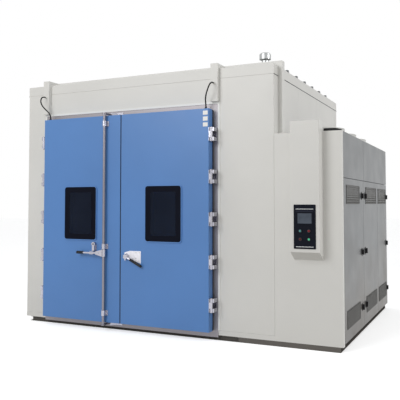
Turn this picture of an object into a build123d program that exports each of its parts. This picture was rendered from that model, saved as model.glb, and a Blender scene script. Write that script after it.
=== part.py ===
from build123d import *
import math
import os

os.makedirs("parts", exist_ok=True)

# Walk-in environmental test chamber with its machine unit, in millimetres.
# X runs to the right along the front, Y to the rear and Z up. The origin is on the
# floor under the middle of the chamber.

# Chamber body
chamber_length = 3400
chamber_depth = 3000
chamber_top = 3055
panel_thickness = 120
base_height = 55
floor_edge = 55
first_panel_width = 957
panel_pitch = 862
rear_panel_width = 850
tongue_depth = 12
tongue_width = 44
tongue_clearance = 1
seam_chamfer = 4
liner_thickness = 2

# Doorway and doors, all measured from the chamber's left front corner
meeting_x = 1523
leaf_gap = 12
leaf_left = 370
leaf_right = 2680
leaf_bottom = 100
leaf_top = 2585
leaf_thickness = 100
gasket_space = 26
jamb_overlap = 30
frame_face = 90
flange_thickness = 4
jamb_thickness = 10
frame_bottom = 30
doorway_top = 2559
trim_width = 24
trim_thickness = 10
plug_margin = 40
plug_depth = 60
gasket_width = 22
gasket_margin = 3
seat_gap = 0.3
running_gap = 0.06
leaf_edge_chamfer = 3

# Windows
window_width = 470
window_height = 645
window_centre_z = 1402
window_lip = 35
window_corner = 32
pane_thickness = 8
window_trim = 7
tunnel_wall = 12

# Door hinges
hinge_height = 150
hinge_pitch = 474.75
hinge_first_z = 396.5
hinge_count = 5
hinge_axis_out = 25
hinge_axis_back = 15
hinge_pin_radius = 6
knuckle_radius = 15
knuckle_height = 42
knuckle_gap = 0.5
hinge_plate = 8
hinge_wing = 16

# Lock bar on the left leaf
rod_x = 1310
rod_stand_off = 35
rod_radius = 16
rod_overrun = 30
cam_thickness = 14
cam_width = 40
cam_back_gap = 8
cam_swing_gap = 9
keeper_thickness = 8
keeper_reach = 52
keeper_tail = 140
keeper_front = 40
keeper_plate = 4
guide_heights = (215, 1005, 2485)
guide_width = 90
guide_height = 62
guide_plate = 5
guide_wall = 7
lever_z = 927
lever_length = 360
lever_depth = 24
lever_thickness = 18
lever_boss_height = 84
lever_boss_length = 95
cradle_x = 1160
cradle_width = 50
cradle_top = 1030

# Lever latch on the right leaf
latch_x = 1617
latch_z = 895
latch_plate_thickness = 5
latch_outline = ((-30, 48), (43, 68), (193, 68), (193, -79), (43, -24), (-30, -48))
latch_hub_radius = 40
latch_stand_off = 36
latch_spindle_radius = 9
latch_arm_length = 236
latch_arm_drop = 27
latch_grip_radius = 11

# Machine unit to the right of the chamber
machine_width = 730
machine_depth = chamber_depth - 50
machine_top = 2278
sheet = 2
front_return = 55
door_depth = 25
post = 40
rail_z = 1790
door_seams = (60, 1150, 2150, machine_depth)
upper_seam = 1180
machine_door_bottom = 75
door_gap = 6
grille_low = (200, 395)
grille_high = (1515, 1720)
grille_spans = ((190, 900), (1300, 2050), (2210, machine_depth - 90))
louvre_pitch = 24
louvre_height = 8
paddle_heights = (310, 951, 1610)
paddle_width = 40
paddle_height = 90
grip_stand_off = 26
grip_width = 30
grip_height = 64

# Fans
condenser_fan_y = (550, 1200, 1850)
condenser_fan_radius = 250
circulation_fan_y = (850, 1750)
circulation_fan_z = 1940
circulation_fan_radius = 240
shaft_radius = 12.5
plenum_depth = 378
plenum_slots = 22
blade_thickness = 3

# Control box
box_left = chamber_length + 220
box_width = 310
box_depth = 150
box_bottom = 1020
box_top = 2380
box_heel = 90
fascia_width = 231
fascia_bottom = 1055
fascia_top = 1510
fascia_thickness = 6
button_radius = 11
button_travel = 3
bezel_height = 8

# Cable trunks and cables
trunk_width = 88
trunk_depth = 50
roof_trunk_front = 143
left_trunk_x = 322
right_trunk_x = 2710
cable_diameter = 12
gland_radius = 12

# Places that follow from the sizes
left = -chamber_length / 2
right = chamber_length / 2
front = -chamber_depth / 2
rear = chamber_depth / 2
wall_bottom = base_height + floor_edge
wall_top = chamber_top - panel_thickness
floor_top = base_height + panel_thickness
frame_left = left + leaf_left + jamb_overlap - frame_face
frame_right = left + leaf_right - jamb_overlap + frame_face
frame_top = doorway_top + frame_face
doorway_left = frame_left + frame_face
doorway_right = frame_right - frame_face
flange_face = front - flange_thickness
leaf_back = flange_face - gasket_space
leaf_face = leaf_back - leaf_thickness
rod_y = leaf_face - rod_stand_off
machine_left = right
machine_right = right + machine_width
machine_rear = front + machine_depth
frame_plane = machine_right - door_depth - seat_gap
machine_floor = base_height + post
inner_right = right - panel_thickness - liner_thickness
baffle_x = inner_right - plenum_depth


def block(x, y, z, mode=Mode.ADD):
    """Add a block that spans the given ranges of X, Y and Z."""
    centre = ((x[0] + x[1]) / 2, (y[0] + y[1]) / 2, (z[0] + z[1]) / 2)
    with Locations(centre):
        Box(x[1] - x[0], y[1] - y[0], z[1] - z[0], mode=mode)


def front_plane(y):
    """Plane of the front at y, seen from the front: its X is +X and its Y is +Z."""
    return Plane(origin=(0, y, 0), x_dir=(1, 0, 0), z_dir=(0, -1, 0))


# Base frame: rolled channels that carry the floor panel and the machine unit.
channel_depth = 45
channel_wall = 5
chamber_rail_left = left + 70
machine_rail_left = right - 420
machine_rail_right = machine_right - 30


def channel(corner, open_side, along, length):
    """Extrude one channel from its lower corner, with its flanges towards open_side."""
    with BuildSketch(Plane(origin=corner, x_dir=open_side, z_dir=along)) as section:
        Polygon(
            (0, 0),
            (channel_depth, 0),
            (channel_depth, channel_wall),
            (channel_wall, channel_wall),
            (channel_wall, base_height - channel_wall),
            (channel_depth, base_height - channel_wall),
            (channel_depth, base_height),
            (0, base_height),
            align=None,
        )
    extrude(section.sketch, amount=length)


cross_rails = 4
inner_length = machine_rail_right - chamber_rail_left - 2 * channel_depth
inner_depth = machine_depth - 2 * channel_depth - 2 * seat_gap
inner_front = front + channel_depth + seat_gap
with BuildPart() as base_frame:
    channel((machine_rail_left - seat_gap, front + channel_depth, 0), (0, -1, 0), (-1, 0, 0),
            machine_rail_left - chamber_rail_left - seat_gap)
    channel((machine_rail_left, front, 0), (0, 1, 0), (1, 0, 0),
            machine_rail_right - machine_rail_left)
    channel((chamber_rail_left, machine_rear - channel_depth, 0), (0, 1, 0), (1, 0, 0),
            machine_rail_right - chamber_rail_left)
    channel((chamber_rail_left + channel_depth, inner_front, 0), (-1, 0, 0), (0, 1, 0), inner_depth)
    channel((machine_rail_right - channel_depth, inner_front + inner_depth, 0), (1, 0, 0),
            (0, -1, 0), inner_depth)
    for n in range(1, cross_rails + 1):
        rail_x = chamber_rail_left + channel_depth + inner_length * n / (cross_rails + 1)
        channel((rail_x + channel_depth / 2, inner_front, 0), (-1, 0, 0), (0, 1, 0), inner_depth)
    block((-channel_depth, channel_depth), (-channel_depth, channel_depth), (0, base_height))
base_frame.part.label = "base_frame"
export_step(base_frame.part, "parts/base_frame.step")

# Floor panel: a rim for the walls to stand on and a raised middle between them.
with BuildPart() as floor_panel:
    with BuildSketch(Plane.XY.offset(base_height)):
        Rectangle(chamber_length, chamber_depth)
    extrude(amount=floor_edge)
    chamfer(floor_panel.faces().sort_by(Axis.Z)[-1].edges(), length=seam_chamfer)
    with BuildSketch(Plane.XY.offset(wall_bottom)):
        Rectangle(chamber_length - 2 * panel_thickness, chamber_depth - 2 * panel_thickness)
    extrude(amount=floor_top - wall_bottom)
floor_panel.part.label = "floor_panel"
export_step(floor_panel.part, "parts/floor_panel.step")


def wall_panel(plane, width, groove=True, tongue=True):
    """Extrude one upright panel: plan outline with a groove at its start, a tongue at its end."""
    middle = panel_thickness / 2
    half = tongue_width / 2
    width -= seat_gap
    deep = tongue_depth + tongue_clearance
    start = [(seam_chamfer, 0), (0, seam_chamfer)]
    if groove:
        start += [
            (0, middle - half - tongue_clearance),
            (deep, middle - half + tongue_depth / 2),
            (deep, middle + half - tongue_depth / 2),
            (0, middle + half + tongue_clearance),
        ]
    start += [(0, panel_thickness)]
    end = [(width, panel_thickness)]
    if tongue:
        end += [
            (width, middle + half),
            (width + tongue_depth, middle + half - tongue_depth),
            (width + tongue_depth, middle - half + tongue_depth),
            (width, middle - half),
        ]
    end += [(width, seam_chamfer), (width - seam_chamfer, 0)]
    with BuildSketch(plane) as outline:
        Polygon(*start, *end, align=None)
    extrude(outline.sketch, amount=wall_top - wall_bottom)


def side_starts():
    """Start and width of each side panel, counted from the chamber's front."""
    seams = [panel_thickness, first_panel_width]
    while seams[-1] + panel_pitch < chamber_depth - panel_thickness:
        seams.append(seams[-1] + panel_pitch)
    seams.append(chamber_depth - panel_thickness)
    return [(a, b - a) for a, b in zip(seams, seams[1:])]


# Side walls: a row of tongued sandwich panels each side, with two shaft holes on the right.
shaft_hole_radius = 40
with BuildPart() as side_walls:
    rows = side_starts()
    for place, (start, width) in enumerate(rows):
        groove, tongue = place > 0, place < len(rows) - 1
        right_plane = Plane(origin=(right, front + start, wall_bottom), x_dir=(0, 1, 0))
        wall_panel(right_plane, width, groove, tongue)
        left_plane = Plane(origin=(left, front + start + width, wall_bottom), x_dir=(0, -1, 0))
        wall_panel(left_plane, width, tongue, groove)
    for y in circulation_fan_y:
        with Locations(Location((right - panel_thickness / 2, front + y, circulation_fan_z), (0, 90, 0))):
            Cylinder(shaft_hole_radius, 2 * panel_thickness, mode=Mode.SUBTRACT)
side_walls.part.label = "side_walls"
export_step(side_walls.part, "parts/side_walls.step")

# Rear wall: the same panels across the full width.
with BuildPart() as rear_wall:
    rear_count = round(chamber_length / rear_panel_width)
    rear_width = chamber_length / rear_count
    for place in range(rear_count):
        plane = Plane(origin=(right - place * rear_width, rear, wall_bottom), x_dir=(-1, 0, 0))
        wall_panel(plane, rear_width, place > 0, place < rear_count - 1)
rear_wall.part.label = "rear_wall"
export_step(rear_wall.part, "parts/rear_wall.step")

# Front panels beside the doorway, and the header over it.
jamb_left = doorway_left - jamb_thickness
jamb_right = doorway_right + jamb_thickness
header_bottom = doorway_top + jamb_thickness
with BuildPart() as front_panels:
    for x0, x1 in ((left, jamb_left), (jamb_right, right)):
        with BuildSketch(Plane.XY.offset(wall_bottom)):
            with Locations(((x0 + x1) / 2, front + panel_thickness / 2)):
                Rectangle(x1 - x0, panel_thickness)
        extrude(amount=wall_top - wall_bottom)
    chamfer(front_panels.edges().filter_by(Axis.Z).group_by(Axis.Y)[0].sort_by(Axis.X)[0::3],
            length=seam_chamfer)
    block((jamb_left + seat_gap, jamb_right - seat_gap), (front, front + panel_thickness),
          (header_bottom, wall_top))
front_panels.part.label = "front_panels"
export_step(front_panels.part, "parts/front_panels.step")

# Roof panel with eased edges.
with BuildPart() as roof_panel:
    with BuildSketch(Plane.XY.offset(wall_top)):
        Rectangle(chamber_length, chamber_depth)
    extrude(amount=panel_thickness)
    chamfer(roof_panel.faces().sort_by(Axis.Z)[-1].edges() + roof_panel.faces().sort_by(Axis.Z)[0].edges(),
            length=seam_chamfer)
roof_panel.part.label = "roof_panel"
export_step(roof_panel.part, "parts/roof_panel.step")

# Stainless liner: a thin box inside the panels, open at the doorway and at the shafts.
liner_left = left + panel_thickness
liner_front = front + panel_thickness
liner_rear = rear - panel_thickness
liner_floor = floor_top + liner_thickness
liner_roof = wall_top - liner_thickness
with BuildPart() as interior_liner:
    with BuildSketch(Plane.XY.offset(floor_top)):
        Rectangle(chamber_length - 2 * panel_thickness, chamber_depth - 2 * panel_thickness)
    extrude(amount=wall_top - floor_top)
    block((liner_left + liner_thickness, inner_right),
          (liner_front + liner_thickness, liner_rear - liner_thickness),
          (liner_floor, liner_roof), mode=Mode.SUBTRACT)
    block((doorway_left, doorway_right), (liner_front - panel_thickness, liner_front + panel_thickness),
          (liner_floor, doorway_top), mode=Mode.SUBTRACT)
    for y in circulation_fan_y:
        with Locations(Location((inner_right, front + y, circulation_fan_z), (0, 90, 0))):
            Cylinder(shaft_hole_radius, 4 * panel_thickness / 3, mode=Mode.SUBTRACT)
interior_liner.part.label = "interior_liner"
export_step(interior_liner.part, "parts/interior_liner.step")

# Door frame: a flat flange on the panel faces and a lining through the wall.
sill_top = floor_top
with BuildPart() as door_frame:
    with BuildSketch(front_plane(front)):
        with Locations(((frame_left + frame_right) / 2, (frame_bottom + frame_top) / 2)):
            Rectangle(frame_right - frame_left, frame_top - frame_bottom)
        with Locations(((doorway_left + doorway_right) / 2, (sill_top + doorway_top) / 2)):
            Rectangle(doorway_right - doorway_left, doorway_top - sill_top, mode=Mode.SUBTRACT)
    extrude(amount=flange_thickness)
    with BuildSketch(front_plane(front + panel_thickness)):
        with Locations(((jamb_left + jamb_right) / 2, (wall_bottom + header_bottom) / 2)):
            Rectangle(jamb_right - jamb_left, header_bottom - wall_bottom)
        with Locations(((doorway_left + doorway_right) / 2, (sill_top + doorway_top) / 2)):
            Rectangle(doorway_right - doorway_left, doorway_top - sill_top, mode=Mode.SUBTRACT)
    extrude(amount=panel_thickness)
door_frame.part.label = "door_frame"
export_step(door_frame.part, "parts/door_frame.step")

# Pale edge trim round the frame, open at the bottom.
with BuildPart() as opening_trim:
    with BuildSketch(front_plane(front)):
        with Locations(((frame_left + frame_right) / 2, (wall_bottom + frame_top + trim_width) / 2)):
            Rectangle(frame_right - frame_left + 2 * trim_width, frame_top + trim_width - wall_bottom)
        with Locations(((frame_left + frame_right) / 2, (wall_bottom + frame_top) / 2)):
            Rectangle(frame_right - frame_left, frame_top - wall_bottom, mode=Mode.SUBTRACT)
    extrude(amount=trim_thickness)
    chamfer(opening_trim.faces().sort_by(Axis.Y)[0].outer_wire().edges().filter_by(Axis.Z)
            .sort_by(Axis.X)[0::3], length=trim_thickness / 2)
opening_trim.part.label = "opening_trim"
export_step(opening_trim.part, "parts/opening_trim.step")


# Door leaves: an insulated slab with a stepped plug behind it and a window opening.
def leaf_body(x0, x1, meeting_side):
    """Make one leaf between x0 and x1; meeting_side is +1 where the leaves meet at x1."""
    middle = (x0 + x1) / 2
    height = leaf_top - leaf_bottom
    with BuildSketch(front_plane(leaf_back)) as outline:
        with Locations((middle, (leaf_bottom + leaf_top) / 2)):
            Rectangle(x1 - x0, height)
    extrude(outline.sketch, amount=leaf_thickness)
    chamfer(faces().sort_by(Axis.Y)[0].edges(), length=leaf_edge_chamfer)
    hinge_side = doorway_left + gasket_margin * 3 if meeting_side > 0 else doorway_right - gasket_margin * 3
    free_side = x1 - plug_margin if meeting_side > 0 else x0 + plug_margin
    plug_low = sill_top + gasket_margin * 4
    plug_high = doorway_top - gasket_margin * 4
    with BuildSketch(front_plane(leaf_back + plug_depth)) as outline:
        with Locations(((hinge_side + free_side) / 2, (plug_low + plug_high) / 2)):
            Rectangle(abs(free_side - hinge_side), plug_high - plug_low)
    extrude(outline.sketch, amount=plug_depth, taper=-2)
    with BuildSketch(front_plane(leaf_back + 2 * plug_depth)) as outline:
        with Locations((middle, window_centre_z)):
            RectangleRounded(window_width - 2 * window_lip, window_height - 2 * window_lip, window_corner)
    extrude(outline.sketch, amount=2 * plug_depth + leaf_thickness, mode=Mode.SUBTRACT)


def gasket_ring(x0, x1):
    """Make the hollow gasket that runs round the back of one leaf."""
    wide = x1 - x0 - 2 * gasket_margin
    high = leaf_top - leaf_bottom - 2 * gasket_margin
    with BuildSketch(front_plane(leaf_back)) as outline:
        with Locations(((x0 + x1) / 2, (leaf_bottom + leaf_top) / 2)):
            Rectangle(wide, high)
            Rectangle(wide - 2 * gasket_width, high - 2 * gasket_width, mode=Mode.SUBTRACT)
    extrude(outline.sketch, amount=-(gasket_space - seat_gap))


def window_unit(middle):
    """Make one window: edge trim, outer pane, spacer tunnel and inner pane."""
    wide, high = window_width, window_height
    with BuildSketch(front_plane(leaf_face)) as outline:
        with Locations((middle, window_centre_z)):
            RectangleRounded(wide + 2 * window_trim, high + 2 * window_trim, window_corner + window_trim)
            RectangleRounded(wide, high, window_corner, mode=Mode.SUBTRACT)
    extrude(outline.sketch, amount=pane_thickness + 2)
    with BuildSketch(front_plane(leaf_face)) as outline:
        with Locations((middle, window_centre_z)):
            RectangleRounded(wide - 2 * seat_gap, high - 2 * seat_gap, window_corner)
    extrude(outline.sketch, amount=pane_thickness)
    tunnel_wide = wide - 2 * window_lip - 2 * seat_gap
    tunnel_high = high - 2 * window_lip - 2 * seat_gap
    inner_face = leaf_back + plug_depth
    tunnel_back = inner_face - pane_thickness - seat_gap
    with BuildSketch(front_plane(tunnel_back)) as outline:
        with Locations((middle, window_centre_z)):
            RectangleRounded(tunnel_wide, tunnel_high, window_corner)
            RectangleRounded(tunnel_wide - 2 * tunnel_wall, tunnel_high - 2 * tunnel_wall,
                             window_corner - tunnel_wall, mode=Mode.SUBTRACT)
    extrude(outline.sketch, amount=tunnel_back - leaf_face - seat_gap)
    with BuildSketch(front_plane(inner_face)) as outline:
        with Locations((middle, window_centre_z)):
            RectangleRounded(tunnel_wide, tunnel_high, window_corner)
    extrude(outline.sketch, amount=pane_thickness)


left_span = (left + leaf_left, left + meeting_x - leaf_gap / 2)
right_span = (left + meeting_x + leaf_gap / 2, left + leaf_right)
gland_y = (leaf_face + leaf_back) / 2
left_gland_x = left + 422
right_gland_x = left + 2624
gland_height = 25


def cable_gland(centre, axis_direction, height):
    """Make a hexagon gland with a round neck, standing on a face at centre."""
    with BuildSketch(Plane(origin=centre, z_dir=axis_direction)) as outline:
        RegularPolygon(gland_radius * 1.3, 6)
    extrude(outline.sketch, amount=height * 0.5)
    with BuildSketch(Plane(origin=centre, z_dir=axis_direction).offset(height * 0.5)) as outline:
        Circle(gland_radius)
    extrude(outline.sketch, amount=height * 0.5)


with BuildPart() as left_leaf:
    leaf_body(left_span[0], left_span[1], 1)
left_leaf.part.label = "left_leaf"
export_step(left_leaf.part, "parts/left_leaf.step")

with BuildPart() as right_leaf:
    leaf_body(right_span[0], right_span[1], -1)
right_leaf.part.label = "right_leaf"
export_step(right_leaf.part, "parts/right_leaf.step")

with BuildPart() as left_gasket:
    gasket_ring(*left_span)
left_gasket.part.label = "left_gasket"
export_step(left_gasket.part, "parts/left_gasket.step")

seal_depth = 20
with BuildPart() as right_gasket:
    gasket_ring(*right_span)
    block((right_span[0] - leaf_gap + 1, right_span[0]),
          (leaf_face + seal_depth / 4, leaf_face + seal_depth),
          (leaf_bottom + gasket_margin, leaf_top - gasket_margin))
right_gasket.part.label = "right_gasket"
export_step(right_gasket.part, "parts/right_gasket.step")

with BuildPart() as left_window:
    window_unit(sum(left_span) / 2)
left_window.part.label = "left_window"
export_step(left_window.part, "parts/left_window.step")

with BuildPart() as right_window:
    window_unit(sum(right_span) / 2)
right_window.part.label = "right_window"
export_step(right_window.part, "parts/right_window.step")

# Door hinges: the frame half carries the pin, the leaf half turns on it.
hinge_z = [hinge_first_z + hinge_pitch * n for n in range(hinge_count)]
axis_y = leaf_face + hinge_axis_back
left_axis_x = left_span[0] - hinge_axis_out
right_axis_x = right_span[1] + hinge_axis_out


def frame_hinge(axis_x, side, z):
    """Make the frame half at height z; side is +1 where the leaf lies towards +X."""
    base = hinge_height / 2
    near, far = axis_x + side * (knuckle_radius - 4), axis_x - side * (knuckle_radius + hinge_wing)
    for low in (z - base, z + base - knuckle_height):
        with Locations((axis_x, axis_y, low + knuckle_height / 2)):
            Cylinder(knuckle_radius, knuckle_height)
        block(sorted((near, far)), (axis_y, flange_face), (low, low + knuckle_height))
    block(sorted((near, far)), (flange_face - 2 * knuckle_radius, flange_face), (z - base, z + base))
    with Locations((axis_x, axis_y, z)):
        Cylinder(hinge_pin_radius, hinge_height + knuckle_radius)


def leaf_hinge(axis_x, side, z):
    """Make the leaf half: a bored knuckle with a web to the plate on the leaf's edge."""
    edge = axis_x + side * hinge_axis_out
    half = hinge_height / 2 - knuckle_height - knuckle_gap
    block(sorted((edge - side * hinge_plate, edge)), (leaf_face + 2, leaf_back - hinge_axis_back),
          (z - hinge_height / 2, z + hinge_height / 2))
    with Locations((axis_x, axis_y, z)):
        Cylinder(knuckle_radius, 2 * half)
    block(sorted((axis_x, edge)), (axis_y - knuckle_radius + 2, axis_y + knuckle_radius - 2),
          (z - half, z + half))
    with Locations((axis_x, axis_y, z)):
        Cylinder(hinge_pin_radius + running_gap, 3 * half, mode=Mode.SUBTRACT)


with BuildPart() as frame_hinges:
    for z in hinge_z:
        frame_hinge(left_axis_x, 1, z)
        frame_hinge(right_axis_x, -1, z)
frame_hinges.part.label = "frame_hinges"
export_step(frame_hinges.part, "parts/frame_hinges.step")

with BuildPart() as left_door_hinges:
    for z in hinge_z:
        leaf_hinge(left_axis_x, 1, z)
left_door_hinges.part.label = "left_door_hinges"
export_step(left_door_hinges.part, "parts/left_door_hinges.step")

with BuildPart() as right_door_hinges:
    for z in hinge_z:
        leaf_hinge(right_axis_x, -1, z)
right_door_hinges.part.label = "right_door_hinges"
export_step(right_door_hinges.part, "parts/right_door_hinges.step")

# Lock bar: a round rod in three guides, with a cam at each end and a lever at hand height.
rod_x0 = left + rod_x
rod_bottom = leaf_bottom - rod_overrun
rod_top = leaf_top + rod_overrun
cam_nose = flange_face - cam_back_gap
with BuildPart() as lock_rod:
    with Locations((rod_x0, rod_y, (rod_bottom + rod_top) / 2)):
        Cylinder(rod_radius, rod_top - rod_bottom)
    for low in (rod_bottom, rod_top - cam_thickness):
        with BuildSketch(Plane.XY.offset(low)):
            with Locations((rod_x0, rod_y)):
                Circle(cam_width / 2 + 4)
            with Locations((rod_x0, (rod_y + cam_nose) / 2)):
                Rectangle(cam_width, cam_nose - rod_y)
        extrude(amount=cam_thickness)
lock_rod.part.label = "lock_rod"
export_step(lock_rod.part, "parts/lock_rod.step")

# Keepers on the frame: a plate behind each cam and a gusset on the side it doesn't turn to.
with BuildPart() as lock_keepers:
    cheek = rod_x0 + cam_width / 2 + cam_swing_gap
    plate_face = flange_face - keeper_plate
    for low in (rod_bottom, rod_top - cam_thickness):
        low_z, high_z = low - cam_thickness, low + 2 * cam_thickness
        block((rod_x0 - keeper_front, cheek + keeper_tail), (plate_face, flange_face), (low_z, high_z))
        with BuildSketch(Plane.XY.offset(low_z)):
            Polygon(
                (cheek, plate_face - seat_gap),
                (cheek, flange_face - keeper_reach),
                (cheek + keeper_thickness, flange_face - keeper_reach),
                (cheek + keeper_thickness + keeper_reach, plate_face - seat_gap),
                align=None,
            )
        extrude(amount=high_z - low_z)
lock_keepers.part.label = "lock_keepers"
export_step(lock_keepers.part, "parts/lock_keepers.step")

# Guides for the rod and the open-fronted cradle for the lever, all bolted to the leaf.
guide_outer = rod_radius + guide_wall
lever_y = rod_y - lever_depth
cradle_x0 = left + cradle_x
with BuildPart() as rod_guides:
    for z in guide_heights:
        with BuildSketch(Plane.XY.offset(z - guide_height / 2)):
            with Locations((rod_x0, leaf_face - guide_plate / 2)):
                Rectangle(guide_width, guide_plate)
            with Locations((rod_x0, rod_y)):
                Circle(guide_outer)
            with Locations((rod_x0, (rod_y + leaf_face) / 2)):
                Rectangle(2 * guide_outer, leaf_face - rod_y)
            with Locations((rod_x0, rod_y)):
                Circle(rod_radius + running_gap, mode=Mode.SUBTRACT)
        extrude(amount=guide_height)
    lever_reach = leaf_face - (lever_y - lever_depth / 2) + guide_wall
    shelf_z = (lever_z - lever_thickness / 2 - seat_gap - guide_wall,
               lever_z + lever_thickness / 2 + guide_wall)
    block((cradle_x0 - cradle_width / 2, cradle_x0 + cradle_width / 2),
          (leaf_face - guide_plate, leaf_face), (shelf_z[0], cradle_top))
    for low in shelf_z:
        with BuildSketch(Plane.XY.offset(low)):
            with Locations((cradle_x0, leaf_face - lever_reach / 2)):
                Rectangle(cradle_width, lever_reach)
        extrude(amount=guide_wall)
    block((cradle_x0 - cradle_width / 3, cradle_x0 + cradle_width / 3),
          (leaf_face - lever_reach / 2, leaf_face), (shelf_z[1], cradle_top))
    hasp = Location((cradle_x0, leaf_face - lever_reach / 4, cradle_top), (90, 0, 0))
    with Locations(hasp):
        Cylinder(cradle_width / 2, lever_reach / 2)
        Cylinder(cradle_width / 5, lever_reach, mode=Mode.SUBTRACT)
rod_guides.part.label = "rod_guides"
export_step(rod_guides.part, "parts/rod_guides.step")

# Lever: a cast boss clamped on the rod, tapering to a bar with a thickened grip.
with BuildPart() as lock_lever:
    boss_outer = guide_outer + 4
    boss_depth = lever_depth * 1.5
    with Locations((rod_x0, rod_y, lever_z)):
        Cylinder(boss_outer, lever_boss_height)
    with BuildSketch(front_plane(rod_y)):
        Polygon((rod_x0, lever_z - lever_boss_height / 2), (rod_x0, lever_z + lever_boss_height / 2),
                (rod_x0 - lever_boss_length, lever_z + lever_thickness),
                (rod_x0 - lever_boss_length, lever_z - lever_thickness), align=None)
    extrude(amount=boss_depth)
    with BuildSketch(Plane.XY.offset(lever_z - lever_thickness / 2)):
        with Locations((rod_x0 - lever_length / 2 - guide_outer, lever_y)):
            RectangleRounded(lever_length - guide_outer, lever_depth, lever_depth / 3)
    extrude(amount=lever_thickness)
    grip_end = (rod_x0 - lever_length - guide_outer / 2, lever_y, lever_z)
    with BuildSketch(Plane(origin=grip_end, z_dir=(1, 0, 0))):
        Circle(lever_depth / 2 + 4)
    extrude(amount=lever_length / 4)
    with Locations((rod_x0, rod_y, lever_z)):
        Cylinder(rod_radius + running_gap, 2 * lever_boss_height, mode=Mode.SUBTRACT)
    pin = (rod_x0 - lever_boss_length / 2 - guide_wall, rod_y - boss_depth / 2, lever_z)
    with Locations(Location(pin, (90, 0, 0))):
        Cylinder(lever_depth / 4, boss_depth + guide_wall)
lock_lever.part.label = "lock_lever"
export_step(lock_lever.part, "parts/lock_lever.step")

# Latch plate on the right leaf, bored for the spindle of the latch lever.
latch_x0 = left + latch_x
with BuildPart() as latch_plate:
    with BuildSketch(front_plane(leaf_face)):
        Polygon(*[(latch_x0 + x, latch_z + z) for x, z in latch_outline], align=None)
        with Locations((latch_x0, latch_z)):
            Circle(latch_spindle_radius + running_gap, mode=Mode.SUBTRACT)
    extrude(amount=latch_plate_thickness)
latch_plate.part.label = "latch_plate"
export_step(latch_plate.part, "parts/latch_plate.step")

# Latch lever: a stepped hub, a cranked arm and a round grip.
latch_front = leaf_face - latch_plate_thickness - seat_gap
with BuildPart() as latch_lever:
    with BuildSketch(front_plane(latch_front)):
        with Locations((latch_x0, latch_z)):
            RegularPolygon(latch_hub_radius, 6, rotation=latch_arm_drop)
    extrude(amount=latch_stand_off, taper=12)
    with BuildSketch(front_plane(leaf_face)):
        with Locations((latch_x0, latch_z)):
            Circle(latch_spindle_radius)
    extrude(amount=latch_plate_thickness + 2 * seat_gap)
    drop = math.radians(latch_arm_drop)
    arm_direction = (math.cos(drop), 0, -math.sin(drop))
    arm_y = latch_front - latch_stand_off + latch_grip_radius
    with BuildSketch(Plane(origin=(latch_x0, arm_y, latch_z), z_dir=arm_direction)):
        Circle(latch_grip_radius)
    extrude(amount=latch_arm_length, taper=-0.5)
latch_lever.part.label = "latch_lever"
export_step(latch_lever.part, "parts/latch_lever.step")

# Cable trunks: cream ducts up the front, over the roof and down the chamber's corner.
trunk_bottom = frame_top + trim_width
roof_trunk_rear = roof_trunk_front + trunk_width
trunk_top = chamber_top + trunk_depth
gland_z = {left_trunk_x: 2894, right_trunk_x: 2880}
with BuildPart() as cable_trunks:
    for x in (left + left_trunk_x, left + right_trunk_x):
        with BuildSketch(Plane(origin=(x - trunk_width / 2, front, 0), x_dir=(0, 1, 0), z_dir=(1, 0, 0))):
            Polygon((-trunk_depth, trunk_bottom), (-trunk_depth, trunk_top), (roof_trunk_front, trunk_top),
                    (roof_trunk_front, chamber_top), (0, chamber_top), (0, trunk_bottom), align=None)
        extrude(amount=trunk_width)
    with BuildSketch(Plane(origin=(0, front + roof_trunk_rear, 0), x_dir=(1, 0, 0), z_dir=(0, -1, 0))):
        Polygon((left + left_trunk_x - trunk_width / 2, chamber_top), (right, chamber_top),
                (right, machine_top), (right + trunk_depth, machine_top), (right + trunk_depth, trunk_top),
                (left + left_trunk_x - trunk_width / 2, trunk_top), align=None)
    extrude(amount=trunk_width)
    for x, z in gland_z.items():
        cable_gland((left + x, front - trunk_depth, z), (0, -1, 0), gland_height - 5)
cable_trunks.part.label = "cable_trunks"
export_step(cable_trunks.part, "parts/cable_trunks.step")

with BuildPart() as left_gland:
    cable_gland((left_gland_x, gland_y, leaf_top), (0, 0, 1), gland_height)
left_gland.part.label = "left_gland"
export_step(left_gland.part, "parts/left_gland.step")

with BuildPart() as right_gland:
    cable_gland((right_gland_x, gland_y, leaf_top), (0, 0, 1), gland_height)
right_gland.part.label = "right_gland"
export_step(right_gland.part, "parts/right_gland.step")

# Heater cables from the trunks to the glands on the leaves. The points are from the front
# left corner of the chamber, with the last one just over the gland's mouth.
cable_end = leaf_top + gland_height + seat_gap
left_route = [
    (322, -70.3, 2894), (322, -106, 2894), (321, -136, 2878), (323, -157, 2848), (331, -164, 2812),
    (346, -161, 2776), (366, -149, 2744), (388, -131, 2716), (407, -111, 2691), (418, -92, 2664),
    (422, -80, 2637), (422, -80, cable_end),
]
right_route = [
    (2710, -70.3, 2880), (2710, -106, 2880), (2706, -136, 2865), (2697, -156, 2836), (2685, -163, 2799),
    (2671, -160, 2763), (2656, -148, 2732), (2643, -130, 2708), (2632, -110, 2687), (2626, -92, 2664),
    (2624, -80, 2637), (2624, -80, cable_end),
]


def cable_path(route):
    """Points of a route in the part's frame and the bend radius at each inner point."""
    points = [Vector(left + x, front + y, z) for x, y, z in route]
    radii = []
    for a, b, c in zip(points, points[1:], points[2:]):
        turn = math.radians((b - a).get_angle(c - b))
        radii.append(0.45 * min((b - a).length, (c - b).length) / math.tan(turn / 2))
    return points, radii


def report_cable(name, points, radii, solid):
    """Print the bend radii and compare the tube's volume with section times length."""
    length = solid.volume / (math.pi * cable_diameter**2 / 4)
    runs = sum((b - a).length for a, b in zip(points, points[1:]))
    print(name, "radii", [round(r) for r in radii], "tube", round(length), "runs", round(runs))


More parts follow.
